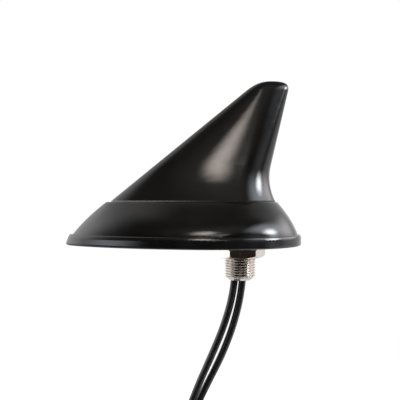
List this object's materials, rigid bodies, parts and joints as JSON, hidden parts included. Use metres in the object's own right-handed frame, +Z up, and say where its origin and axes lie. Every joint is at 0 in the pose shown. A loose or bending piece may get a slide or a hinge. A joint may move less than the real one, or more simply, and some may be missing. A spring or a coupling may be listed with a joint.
{
  "type": "car roof antenna",
  "caption": "Fin-shaped car roof antenna: gloss fin cover on a flared skirt and rim gasket, hollow threaded stud with washer and nut below the roof, and coaxial leads with plugs.",
  "frame": {"origin": "on the stud's axis, at the plane of the roof that the rim gasket seals on", "axes": "+Z up out of the roof, -X to the nose of the fin, +Y across the roof"},
  "size_m": [0.0907, 0.0526, 0.1872],
  "materials": {
    "gloss_shell": "polished black lacquer over moulded plastic",
    "rim_rubber": "smooth black moulded rubber with a soft shine",
    "seal_rubber": "grey sealing rubber",
    "casting": "die cast, matt",
    "plated_steel": "bright nickel plate",
    "circuit_board": "green solder mask with copper traces",
    "ceramic": "fired ceramic",
    "tinned_sheet": "tinned",
    "gold_contact": "gold flash",
    "cable_jacket": "satin black jacket",
    "tie_nylon": "moulded nylon",
    "plug_housing": "moulded plastic",
    "insulator": "white insulator"
  },
  "bodies": {
    "antenna": {"fin_cover": "gloss_shell", "seam_seal": "seal_rubber", "base_skirt": "gloss_shell", "rim_gasket": "rim_rubber", "base_plate": "casting", "threaded_stud": "plated_steel", "cable_grommet": "rim_rubber", "main_board": "circuit_board", "fin_board": "circuit_board", "board_screws": "plated_steel", "cover_screws": "plated_steel", "patch_pad": "rim_rubber", "patch_ceramic": "ceramic", "patch_electrode": "tinned_sheet", "patch_feed_pin": "gold_contact", "shield_can": "tinned_sheet", "cable_a": "cable_jacket", "cable_b": "cable_jacket", "coil_a": "cable_jacket", "coil_b": "cable_jacket", "cable_a_tail": "cable_jacket", "cable_b_tail": "cable_jacket", "coil_tie": "tie_nylon", "plug_a_ferrule": "tinned_sheet", "plug_a_housing": "plug_housing", "plug_a_barrel": "gold_contact", "plug_a_insulator": "insulator", "plug_a_pin": "gold_contact", "plug_b_ferrule": "tinned_sheet", "plug_b_housing": "plug_housing", "plug_b_barrel": "gold_contact", "plug_b_insulator": "insulator", "plug_b_pin": "gold_contact"},
    "washer": {"toothed_washer": "plated_steel"},
    "nut": {"hex_nut": "plated_steel"}
  },
  "joints": [
    {"name": "washer_slide", "type": "slide", "parent": "antenna", "child": "washer", "axis": [0, 0, -1], "range_m": [0, 0.006]},
    {"name": "nut_turn", "type": "hinge", "parent": "washer", "child": "nut", "pos_m": [0, 0, -0.0027], "axis": [0, 0, -1], "range_deg": [0, 2160]}
  ],
  "couplings": [
    {"joint": "washer_slide", "follows": "nut_turn", "m_per_rad": 0.00015915}
  ]
}
